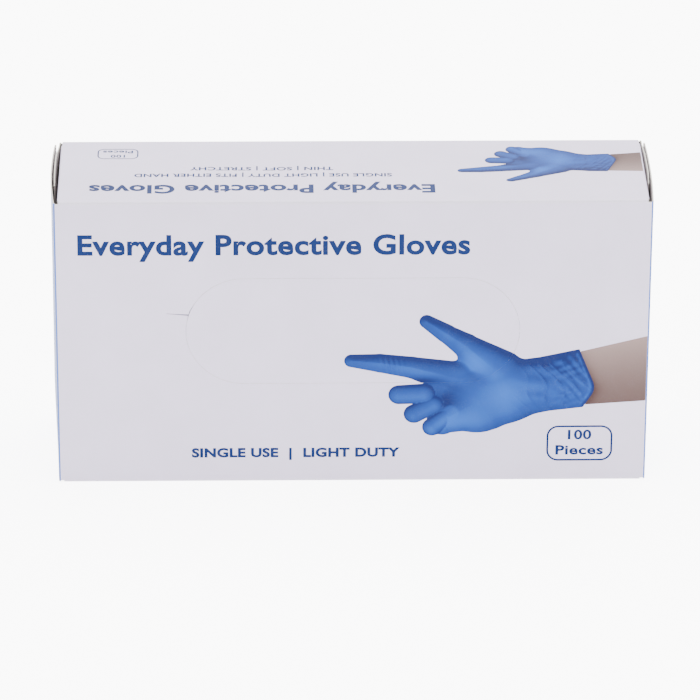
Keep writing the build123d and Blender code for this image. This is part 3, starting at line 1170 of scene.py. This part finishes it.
def lettering(name, words, height, width, anchor, place, body, weight=0.02,
              finish="ink", slot="printed_board", align="LEFT"):
    """Print a line of words: capital height, whole width, left end and baseline on a face."""
    curve = bpy.data.curves.new(name, "FONT")
    curve.body = words
    curve.size = 1.0
    curve.offset = weight
    curve.resolution_u = 5
    curve.space_character = 1.06
    text = add_object(name, curve)
    bpy.context.view_layer.update()
    mesh = evaluated_mesh(text)
    bpy.data.objects.remove(text)
    points = np.array([tuple(v.co)[:2] for v in mesh.vertices])
    triangles = np.array([tuple(face.vertices) for face in mesh.polygons])
    bpy.data.meshes.remove(mesh)
    left, right = points[:, 0].min(), points[:, 0].max()
    start = -width / 2 if align == "CENTRE" else 0.0
    flat = np.stack([(points[:, 0] - left) / (right - left) * width + start,
                     points[:, 1] / CAPITAL * height], axis=-1)
    flat, triangles = joined_letters(flat / MM, triangles)
    u, v = flat.T * MM
    under, over = (place(anchor[0] + u, anchor[1] + v, INK_LIFT + w + 0 * u) for w in (0, INK))
    count = len(flat)
    ways = {(a, b) for tri in triangles.tolist() for a, b in zip(tri, tri[1:] + tri[:1])}
    rim = [(a, b, b + count, a + count) for a, b in sorted(ways) if (b, a) not in ways]
    faces = triangles[:, ::-1].tolist() + (triangles + count).tolist() + rim
    obj = finish_mesh(name, np.concatenate([under, over]), faces, [Finishes.get(finish)])
    place_piece(obj, body, slot)
    return obj


def badge(name, middle, size, line, place, body, slot, finish="ink"):
    """Print the outline of a rounded rectangle."""
    half_u, half_v = size[0] / 2, size[1] / 2
    radius = min(half_v * 0.6, 5 * MM)

    def distance(u, v):
        edge = rounded_box(u - middle[0], v - middle[1], half_u, half_v, radius)
        return np.abs(edge + line / 2) - line / 2

    region = ((middle[0] - half_u - line, middle[0] + half_u + line),
              (middle[1] - half_v - line, middle[1] + half_v + line))
    ring = film(name, distance, region, line * 0.5, place, INK, [Finishes.get(finish)],
                lift=INK_LIFT)
    place_piece(ring, body, slot)
    return ring


def count_badge(face, place, middle, size, line, capital, weight, count, word):
    """Print a badge with a count over a word; each has its width and its baseline."""
    badge(f"{face}_badge", middle, size, line, place, "carton", "printed_board")
    for part, words, (width, base) in (("count", "100", count), ("word", "Pieces", word)):
        lettering(f"{face}_badge_{part}", words, capital, width, (middle[0], base), place,
                  "carton", weight=weight, align="CENTRE")


def large_badge(face, place):
    """The badge in the lower corner of a large wall."""
    count_badge(face, place, (92.8 * MM, 17.0 * MM), (27 * MM, 16.2 * MM), 0.8 * MM, 4.3 * MM,
                0.03, (9.6 * MM, 18.9 * MM), (19.5 * MM, 11.9 * MM))


class CARTON_OT_front_print(bpy.types.Operator):
    """Print the title, the small line and the count badge on the front"""

    bl_idname = "carton.front_print"
    bl_label = "Front print"

    def execute(self, context):
        prints = context.scene.print_style
        lettering("front_title", prints.title, 8.9 * MM, 157.5 * MM, (-110.6 * MM, 102.9 * MM),
                  on_front, "carton", weight=0.03)
        lettering("front_small_line", prints.front_line, 4.1 * MM, 85 * MM,
                  (-65.6 * MM, 11.4 * MM), on_front, "carton", weight=0.045)
        large_badge("front", on_front)
        return {"FINISHED"}


class CARTON_OT_top_print(bpy.types.Operator):
    """Print the title, two small lines and the count badge on the top"""

    bl_idname = "carton.top_print"
    bl_label = "Top print"

    def execute(self, context):
        prints = context.scene.print_style
        lettering("top_title", prints.title, 8.2 * MM, 139 * MM, (-33 * MM, 13.6 * MM),
                  on_top, "carton", weight=0.034)
        lettering("top_long_line", prints.long_line, 3.2 * MM, 104 * MM, (-16 * MM, 2.4 * MM),
                  on_top, "carton", weight=0.024)
        lettering("top_short_line", prints.short_line, 3.2 * MM, 58 * MM, (7.6 * MM, -4.0 * MM),
                  on_top, "carton", weight=0.024)
        count_badge("top", on_top, (95 * MM, -17.2 * MM), (16.6 * MM, 9.8 * MM), 0.5 * MM,
                    2.6 * MM, 0.02, (5.8 * MM, -16.2 * MM), (12.2 * MM, -20.4 * MM))
        return {"FINISHED"}


class CARTON_OT_back_print(bpy.types.Operator):
    """Print the title, a ruled box and its lines on the back"""

    bl_idname = "carton.back_print"
    bl_label = "Back print"

    def execute(self, context):
        prints = context.scene.print_style
        lettering("back_title", prints.title, 8.9 * MM, 157.5 * MM, (-110.6 * MM, 102.9 * MM),
                  on_back, "carton", weight=0.034)
        lettering("back_small_line", prints.front_line, 4.1 * MM, 85 * MM,
                  (-110.6 * MM, 90 * MM), on_back, "carton", weight=0.018)
        badge("back_panel_box", (-55 * MM, 48 * MM), (111 * MM, 62 * MM), 0.45 * MM, on_back,
              "carton", "printed_board")
        lines = ("Store in a cool, dry place.", "Keep away from direct light.",
                 "Open the oval along the cut line.", "Pull one glove at a time.",
                 "Throw away after use.")
        widths = (50, 53, 63, 47, 42)
        for row, (words, width) in enumerate(zip(lines, widths)):
            lettering(f"back_line_{row + 1}", words, 3.3 * MM, width * MM,
                      (-101 * MM, (66 - 9.6 * row) * MM), on_back, "carton", weight=0.006)
        large_badge("back", on_back)
        return {"FINISHED"}


class CARTON_OT_end_print(bpy.types.Operator):
    """Print the size boxes and the count on both ends"""

    bl_idname = "carton.end_print"
    bl_label = "End print"

    def execute(self, context):
        for word, side in SIDES:
            place = on_end(side)
            body = f"{word}_outer"
            lettering(f"{word}_end_title", "Gloves", 6.5 * MM, 38 * MM, (0.0, 103 * MM), place,
                      body, weight=0.025, finish="white_ink", slot="end_board", align="CENTRE")
            lettering(f"{word}_end_count", "100", 9 * MM, 21 * MM, (0.0, 13 * MM), place, body,
                      weight=0.02, finish="white_ink", slot="end_board", align="CENTRE")
            for row, size in enumerate(("S", "M", "L", "XL")):
                level = (82 - 14 * row) * MM
                badge(f"{word}_size_box_{size}", (-8 * MM, level), (8 * MM, 8 * MM), 0.5 * MM,
                      place, body, "end_board", finish="white_ink")
                lettering(f"{word}_size_{size}", size, 5 * MM, (3.4 + 3.6 * (len(size) - 1)) * MM,
                          (6 * MM, level - 2.5 * MM), place, body, weight=0.0,
                          finish="white_ink", slot="end_board")
            self.tick(word, place, body)
        return {"FINISHED"}

    def tick(self, word, place, body):
        """A tick in the box for medium."""
        middle = (-8 * MM, 68 * MM)

        def distance(u, v):
            short, _ = capsule(u, v, (middle[0] - 2 * MM, middle[1]),
                               (middle[0] - 0.5 * MM, middle[1] - 2 * MM), 0.4 * MM, 0.4 * MM)
            long, _ = capsule(u, v, (middle[0] - 0.5 * MM, middle[1] - 2 * MM),
                              (middle[0] + 2.4 * MM, middle[1] + 2.4 * MM), 0.4 * MM, 0.35 * MM)
            return np.minimum(short, long)

        region = tuple((centre - 4 * MM, centre + 4 * MM) for centre in middle)
        mark = film(f"{word}_size_tick", distance, region, 0.2 * MM, place, INK,
                    [Finishes.get("white_ink")], lift=INK_LIFT)
        place_piece(mark, body, "end_board")


# ---------------------------------------------------------------- the printed hand

GLOVE_DARK = np.array((0.0012, 0.010, 0.085))
GLOVE_MIDDLE = np.array((0.007, 0.046, 0.24))
GLOVE_LIGHT = np.array((0.03, 0.16, 0.60))
SKIN_DARK = np.array((0.060, 0.030, 0.027))
SKIN_LIGHT = np.array((0.29, 0.21, 0.195))

# each bar: start, end, start radius, end radius, in millimetres on the front wall
INDEX_BARS = (((-0.6, 55.1), (11.0, 54.0), 2.9, 4.2), ((11.0, 54.0), (24, 52.0), 4.2, 4.9),
              ((24, 52.0), (44, 46.5), 4.9, 8.0))
THUMB_BARS = (((29.8, 72.7), (37.6, 67.4), 3.0, 4.2), ((37.6, 67.4), (45.6, 61.9), 4.0, 5.5),
              ((45.6, 61.9), (58, 50.4), 5.5, 10.7))
PALM_BARS = (((36.5, 27.6), (51, 36.6), 6.3, 14.2), ((38, 43), (51, 37), 7.0, 14.2),
             ((51, 36.6), (63, 41), 14.2, 14.0), ((63, 41), (73, 43.3), 14.0, 12.2),
             ((73, 43.3), (98, 47.5), 12.2, 13.4))
CURLED_BARS = (((18.8, 39.6), (29, 40.1), 4.3, 4.5), ((25.0, 30.9), (33.0, 35.2), 4.2, 3.9),
               ((32.4, 24.9), (40.0, 31.2), 4.0, 3.2))
ARM_BARS = (((88, 45.8), (126, 51.8), 11.6, 15.0),)


def bars_shape(u, v, bars, join):
    """Distance and height of several bars joined with rounded seams."""
    whole = None
    height = None
    for start, end, start_radius, end_radius in bars:
        distance, back = capsule(u, v, start, end, start_radius, end_radius)
        whole = distance if whole is None else soft_union(whole, distance, join)
        height = back if height is None else soft_peak(height, back)
    return whole, height


def cuff_end(u, v):
    """Distance to the cuff's slanted and slightly pointed end."""
    upper = (u - 92.0) * 0.929 + (v - 59.4) * 0.370
    lower = (u - 98.8) * 0.845 - (v - 41.5) * 0.534
    return -soft_union(-upper, -lower, 3.0)


def soft_peak(first, second):
    """The larger of two heights, with a rounded change-over."""
    return np.logaddexp(first * 0.9, second * 0.9) / 0.9


def hand_parts(u, v):
    """Distances and heights of the gloved hand's layers, front ones last."""
    palm, palm_height = bars_shape(u, v, PALM_BARS, 1.5)
    for bars in (INDEX_BARS, THUMB_BARS):
        digit, digit_height = bars_shape(u, v, bars, 0.3)
        palm = soft_union(palm, digit, 3.5)
        palm_height = soft_peak(palm_height, digit_height)
    palm = np.maximum(palm, cuff_end(u, v))
    body = np.clip(-palm, 0, None)
    layers = [(palm, 5.0 * (1 - np.exp(-body / 3.4)) + 0.3 * palm_height)]
    for bar in CURLED_BARS:
        distance, height = capsule(u, v, *bar)
        layers.append((distance, height + 3.4))
    return layers


def hand_height(u, v):
    """Height of the gloved hand, for its shading."""
    height = np.zeros_like(u)
    for distance, back in hand_parts(u, v):
        height = np.maximum(height, np.where(distance < 0, back, 0))
    near_cuff = np.exp(-((u - 88) / 7.5) ** 2)
    at_wrist = np.exp(-((u - 77) / 7) ** 2)
    folds = 0.30 * np.sin((v + 0.8 * u) * 1.15 + 1.6 * np.sin(u * 0.42)) * near_cuff
    folds += 0.22 * np.sin((v - 0.5 * u) * 1.5 + 1.2 * np.sin(v * 0.5)) * near_cuff
    folds += 0.34 * np.sin((v + 0.42 * u) * 0.85 + np.sin(u * 0.3)) * at_wrist
    folds += 0.2 * np.sin((u + 0.25 * v) * 3.0) * np.exp(-((u - 15.5) / 4.6) ** 2) * (v > 48)
    crossing = np.abs(np.sin(u * 0.55 + v * 0.33 + 1.4 * np.sin(v * 0.31 + u * 0.12)))
    folds += 0.55 * (1 - crossing) ** 3 * (near_cuff + 0.8 * at_wrist)
    bead = 1.1 * np.exp(-((cuff_end(u, v) + 0.9) / 0.8) ** 2)
    return height + (folds + bead) * np.clip(height / 4, 0, 1)


def glove_distance(u, v):
    """Distance to the outline of the gloved hand."""
    return np.minimum.reduce([distance for distance, _ in hand_parts(u, v)])


def arm_distance(u, v):
    """Distance to the outline of the bare forearm, behind the cuff."""
    arm, _ = bars_shape(u, v, ARM_BARS, 1.0)
    return arm


def shade(colours, level):
    """Blend a dark, a middle and a light colour by a level from 0 to 1."""
    dark, middle, light = colours
    level = np.clip(level, 0, 1)[:, None]
    low = dark + (middle - dark) * np.clip(level * 2, 0, 1)
    return low + (light - low) * np.clip(level * 2 - 1, 0, 1)


def glow(u, v, middle, reach):
    """A soft round patch, 1 at its middle."""
    return np.exp(-((u - middle[0]) / reach[0]) ** 2 - ((v - middle[1]) / reach[1]) ** 2)


def glove_tone(u, v):
    """Printed colour of the gloved hand at each place."""
    step = 0.25
    slope_u = (hand_height(u + step, v) - hand_height(u - step, v)) / (2 * step)
    slope_v = (hand_height(u, v + step) - hand_height(u, v - step)) / (2 * step)
    size = np.sqrt(slope_u ** 2 + slope_v ** 2 + 1)
    facing = (slope_u * 0.12 + slope_v * 0.36 + 0.92) / size
    level = 0.50 + 0.85 * (facing - 0.92) + 0.05 * ripple(u, v, 0.05, 2.5)
    level += 0.22 * glow(u, v, (48, 54), (8, 6)) + 0.18 * glow(u, v, (62, 40), (10, 9))
    level += 0.10 * glow(u, v, (40, 27), (12, 5)) - 0.10 * glow(u, v, (80, 54), (9, 7))
    hollow = glow(u, v, (38.5, 38.0), (7, 5.5)) + glow(u, v, (29, 46), (8, 1.8))
    curled = np.minimum.reduce([capsule(u, v, *bar)[0] for bar in CURLED_BARS])
    level -= 0.50 * hollow * np.clip(curled + 0.4, 0, 1)
    rim = glow(u, v, (2, 56), (6, 4)) + glow(u, v, (30, 73), (5, 5))
    return shade((GLOVE_DARK, GLOVE_MIDDLE, GLOVE_LIGHT), level - 0.12 * rim)


def arm_tone(u, v):
    """Printed colour of the forearm at each place."""
    across = (v - 46.5 - (u - 88) * 0.15) / 14
    shadow = np.exp(-np.clip(cuff_end(u, v), 0, None) / 2.0)
    level = 0.42 + 0.34 * across + 0.10 * across ** 2 - 0.35 * shadow
    return shade((SKIN_DARK, (SKIN_DARK + SKIN_LIGHT) / 2, SKIN_LIGHT), level)


class CARTON_OT_hand_pictures(bpy.types.Operator):
    """Print the gloved hand on the front, across the window's cut, and on the top"""

    bl_idname = "carton.hand_pictures"
    bl_label = "Hand pictures"

    def execute(self, context):
        gap = context.scene.carton.cut_gap * 0.1
        edge = (END_X - context.scene.carton.fold_radius) / MM - 0.05
        far = TOP_HIGH.x - 0.1 * MM

        def on_front_hand(u, v, w):
            return on_front(u * MM, v * MM, w)

        def on_top_hand(u, v, w):
            x = far + (3.0 - (edge - u) * 0.637) * MM
            across = 56.1 - v + 0.19 * np.clip(u - 80, 0, None)
            y = FRONT_Y + (29.3 + across * (0.585 + 0.0027 * across)) * MM
            return on_top(-x, -y, w)

        self.layer("front_hand", on_front_hand, "carton", "printed_board", edge, 0.45,
                   lambda u, v: (gap - window_distance(u * MM, v * MM)) / MM)
        self.layer("window_hand", on_front_hand, "window", "window_board", edge, 0.45,
                   lambda u, v: (gap + window_distance(u * MM, v * MM)) / MM)
        self.layer("top_hand", on_top_hand, "carton", "printed_board", edge - 4.75, 0.7, None)
        return {"FINISHED"}

    def layer(self, name, place, body, slot, edge, cell, inside):
        """Print one picture, kept inside the edge and the given distance; lengths in mm."""
        def limited(shape):
            def distance(u, v):
                whole = np.maximum(shape(u, v), u - edge)
                return whole if inside is None else np.maximum(whole, inside(u, v))
            return distance

        def bare(u, v):
            return np.maximum(arm_distance(u, v), -glove_distance(u, v))

        region = ((-4, edge + 0.5), (16, 80))
        glove = film(f"{name}_glove", limited(glove_distance), region, cell, place, INK,
                     [Finishes.get("picture")], tone=glove_tone, lift=INK_LIFT)
        place_piece(glove, body, slot)
        if name != "window_hand":
            arm = film(f"{name}_arm", limited(bare), ((88, edge + 0.5), (28, 74)), cell, place,
                       INK, [Finishes.get("picture")], tone=arm_tone, lift=INK_LIFT)
            place_piece(arm, body, slot)


# ---------------------------------------------------------------- gloves

GLOVES_IN_BUNDLE = 10
GLOVE_FILM = 0.16 * MM
PALM_WIDTH = 96 * MM
CUFF_WIDTH = 86 * MM
ARM_SHIFT = 9 * MM    # how far palm and cuff lie off the middle, away from the thumb
BEAD_RADIUS = 0.22 * MM
BEAD_STEPS, BEAD_SIDES = 22, 6


def glove_shape(length, width, cuff):
    """Give the distance function of a flat glove, fingers towards +u, about its middle."""
    half = length / 2
    pitch = width / 4
    knuckles = half - 78 * MM
    reaches = (56, 72, 78, 69)

    def distance(u, v):
        body = rounded_box(u + half - 76 * MM, v + ARM_SHIFT, 76 * MM, cuff / 2, 2 * MM)
        palm = rounded_box(u - knuckles + 32 * MM, v + ARM_SHIFT, 34 * MM, width / 2, 16 * MM)
        whole = soft_union(body, palm, 12 * MM)
        for place, reach in enumerate(reaches):
            step = place - 1.5
            angle = math.radians(step * 4)
            root = (knuckles - 12 * MM, step * pitch - ARM_SHIFT)
            tip = (root[0] + math.cos(angle) * reach * MM, root[1] + math.sin(angle) * reach * MM)
            bar, _ = capsule(u, v, root, tip, 11.6 * MM, 10.6 * MM)
            whole = soft_union(whole, bar, 1.5 * MM)
        root = (-half + 88 * MM, cuff / 2 - 22 * MM)
        tip = (root[0] + 75 * MM, root[1] + 23.5 * MM)
        thumb, _ = capsule(u, v, root, tip, 14 * MM, 12 * MM)
        return soft_union(whole, thumb, 6 * MM)

    return distance


class CARTON_OT_gloves(bpy.types.Operator):
    """Make the hundred stacked gloves, ten to a piece"""

    bl_idname = "carton.gloves"
    bl_label = "Gloves"

    def execute(self, context):
        names = sorted(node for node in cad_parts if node.startswith("gloves_"))
        names.sort(key=lambda node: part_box(node)[0][1])
        for order, node in enumerate(names):
            self.bundle(order, node)
        return {"FINISHED"}

    def bundle(self, order, node):
        """Ten gloves, one behind the other, with cuffs at alternate ends."""
        low, high = corners_of(node)
        pitch = (high.y - low.y - GLOVE_FILM) / (GLOVES_IN_BUNDLE - 1)
        middle_z = (low.z + high.z) / 2
        length = high.x - low.x
        shape = glove_shape(length, PALM_WIDTH, CUFF_WIDTH)
        height = bpy.context.scene.gloves.ripple
        parts = []
        for place in range(GLOVES_IN_BUNDLE):
            turn = 1 if place % 2 == 0 else -1
            face_y = low.y + place * pitch
            number = order * GLOVES_IN_BUNDLE + place
            front = number == 0
            seed = number * 0.37
            swell = 2.6 * MM if front else max(0.0, 1.9 - number * 0.12) * MM

            def put(u, v, w, turn=turn, face_y=face_y, seed=seed, swell=swell, front=front):
                x, z = turn * u, middle_z + turn * v
                common = height * ripple(x, z, 28.0, 0.5 + seed * 0.02)
                own = 0.16 * MM * ripple(x, z, 90.0, seed)
                lift = swell * dome(x, z - MIDDLE_Z, END_X, MIDDLE_Z) * 0.8
                pucker = 0.55 * MM * (ripple(x, z * 2.2, 55.0, 9.1)
                                      + 0.4 * ripple(x * 2, z, 130.0, 2.2)) if front else 0.0
                y = face_y + GLOVE_FILM + common + own - lift + pucker - w
                return np.stack([x, y, z], axis=-1)

            cell = 1.7 * MM if front else 4.6 * MM
            region = ((-length / 2, length / 2), (low.z - middle_z, high.z - middle_z))
            parts.append(film(f"glove_{number + 1}", shape, region, cell, put, GLOVE_FILM,
                              [Finishes.get("film")]))
            parts.append(self.bead(f"bead_{number + 1}", length, put))
        whole = join(parts, f"glove_stack_{order + 1:02d}")
        place_piece(whole, "carton", "glove_film", node)

    def bead(self, name, length, put):
        """Rolled bead along the cuff's edge."""
        steps, sides = BEAD_STEPS, BEAD_SIDES
        reach = CUFF_WIDTH / 2 - 1.5 * MM
        along = np.linspace(-reach, reach, steps) - ARM_SHIFT
        turns = np.arange(sides) / sides * math.tau
        u = np.tile(-length / 2 + 0.5 * MM + BEAD_RADIUS * np.cos(turns), (steps, 1))
        v = np.tile(along, (sides, 1)).T
        w = np.tile(GLOVE_FILM / 2 + BEAD_RADIUS * np.sin(turns), (steps, 1))
        verts = put(u.ravel(), v.ravel(), w.ravel())
        faces = [(r * sides + c, r * sides + (c + 1) % sides,
                  (r + 1) * sides + (c + 1) % sides, (r + 1) * sides + c)
                 for r in range(steps - 1) for c in range(sides)]
        faces += [tuple(range(sides)), tuple(range((steps - 1) * sides, steps * sides))]
        bead = finish_mesh(name, verts, faces, [Finishes.get("film")])
        smooth(bead, 60)
        return bead


def join(parts, name):
    """Join several objects' meshes into one new object."""
    work = bmesh.new()
    for part in parts:
        work.from_mesh(part.data)
    mesh = bpy.data.meshes.new(name)
    work.to_mesh(mesh)
    work.free()
    mesh.materials.append(parts[0].data.materials[0])
    for part in parts:
        bpy.data.objects.remove(part)
    return add_object(name, mesh)


# ---------------------------------------------------------------- stage

def area_light(name, place, target, size, power):
    """A soft square light that looks at a point."""
    data = bpy.data.lights.new(name, "AREA")
    data.shape = "SQUARE"
    data.size = size
    data.energy = power
    obj = add_object(name, data)
    obj.location = place
    obj.rotation_euler = (Vector(target) - Vector(place)).to_track_quat("-Z", "Y").to_euler()


class CARTON_OT_stage(bpy.types.Operator):
    """Set the floor, the lights, the world and the camera"""

    bl_idname = "carton.stage"
    bl_label = "Stage"

    def execute(self, context):
        self.floor()
        centre = (0, 0, MIDDLE_Z)
        area_light("key_light", (-1.1, -1.5, 1.7), centre, 1.4, 35.0)
        area_light("fill_light", (1.5, -1.3, 1.0), centre, 1.6, 22.0)
        area_light("top_light", (0.1, 0.5, 2.0), centre, 1.8, 92.0)
        area_light("back_light", (0.2, 1.9, 1.2), centre, 1.6, 18.0)
        world = bpy.data.worlds.new("studio")
        world.use_nodes = True
        sky = world.node_tree.nodes["Background"]
        sky.inputs["Color"].default_value = (1, 1, 1, 1)
        seen = world.node_tree.nodes.new("ShaderNodeLightPath").outputs["Is Camera Ray"]
        world.node_tree.links.new(map_range(world.node_tree, seen, 0, 1, 1.0, 6.5),
                                  sky.inputs["Strength"])
        context.scene.world = world
        self.camera(context)
        return {"FINISHED"}

    def floor(self):
        """A large pale floor, a hair under the carton."""
        steps = np.linspace(-4, 4, 9)
        x, y = np.meshgrid(steps, steps)
        top = np.stack([x, y, np.full_like(x, -0.02 * MM)], axis=-1)
        material, tree, shader = start_material("pale_floor")
        place = tree.nodes.new("ShaderNodeTexCoord").outputs["Object"]
        cloud = noise_node(tree, place, 3.0)
        base = mix_colour(tree, cloud, (0.93, 0.93, 0.93), (0.97, 0.97, 0.97))
        tree.links.new(base, shader.inputs["Base Color"])
        shader.inputs["Roughness"].default_value = 0.9
        shader.inputs["Emission Color"].default_value = (1, 1, 1, 1)
        seen = tree.nodes.new("ShaderNodeLightPath").outputs["Is Camera Ray"]
        tree.links.new(map_range(tree, seen, 0, 1, 1.4, 7.0), shader.inputs["Emission Strength"])
        floor = slab("floor", top, top - np.array([0, 0, 0.01]), [material, material])

    def camera(self, context):
        """The camera, turned by yaw, pitch and roll."""
        stage = context.scene.stage_setup
        yaw, pitch, roll = stage.yaw, stage.pitch, stage.roll
        ahead = Vector((math.sin(yaw) * math.cos(pitch), math.cos(yaw) * math.cos(pitch),
                        -math.sin(pitch)))
        right = Vector((math.cos(yaw), -math.sin(yaw), 0))
        up = right.cross(ahead)
        leaned = right * math.cos(roll) + up * math.sin(roll)
        upright = up * math.cos(roll) - right * math.sin(roll)
        data = bpy.data.cameras.new("camera")
        data.lens = stage.lens
        data.sensor_width = 36.0
        data.clip_end = 50.0
        camera = add_object("camera", data)
        turn = Matrix((leaned, upright, -ahead)).transposed()
        camera.location = stage.camera_place
        camera.rotation_euler = turn.to_euler()
        context.scene.camera = camera


# ---------------------------------------------------------------- add-on

OPERATORS = (
    CARTON_OT_front_wall, CARTON_OT_window, CARTON_OT_other_walls, CARTON_OT_outer_flaps,
    CARTON_OT_inner_flaps, CARTON_OT_dust_flaps, CARTON_OT_front_print, CARTON_OT_top_print,
    CARTON_OT_back_print, CARTON_OT_end_print, CARTON_OT_hand_pictures, CARTON_OT_gloves,
    CARTON_OT_stage,
)
SETTINGS = (("carton", CartonSettings), ("print_style", PrintSettings),
            ("gloves", GloveSettings), ("stage_setup", StageSettings))


class CARTON_PT_panel(bpy.types.Panel):
    """Sidebar panel that lists the carton's operators"""

    bl_idname = "CARTON_PT_panel"
    bl_label = "Glove carton"
    bl_space_type = "VIEW_3D"
    bl_region_type = "UI"
    bl_category = "Glove carton"

    def draw(self, context):
        for operator in OPERATORS:
            self.layout.operator(operator.bl_idname)


CLASSES = tuple(group for _, group in SETTINGS) + OPERATORS + (CARTON_PT_panel,)


def register():
    """Register the classes and hang the settings on the scene."""
    for entry in CLASSES:
        bpy.utils.register_class(entry)
    for name, group in SETTINGS:
        setattr(bpy.types.Scene, name, bpy.props.PointerProperty(type=group))


def unregister():
    """Take the settings and the classes away again."""
    for name, _ in SETTINGS:
        delattr(bpy.types.Scene, name)
    for entry in reversed(CLASSES):
        bpy.utils.unregister_class(entry)


def main():
    """Make every piece in order."""
    register()
    for operator in OPERATORS:
        group, name = operator.bl_idname.split(".")
        getattr(getattr(bpy.ops, group), name)()


if __name__ == "__main__":
    main()
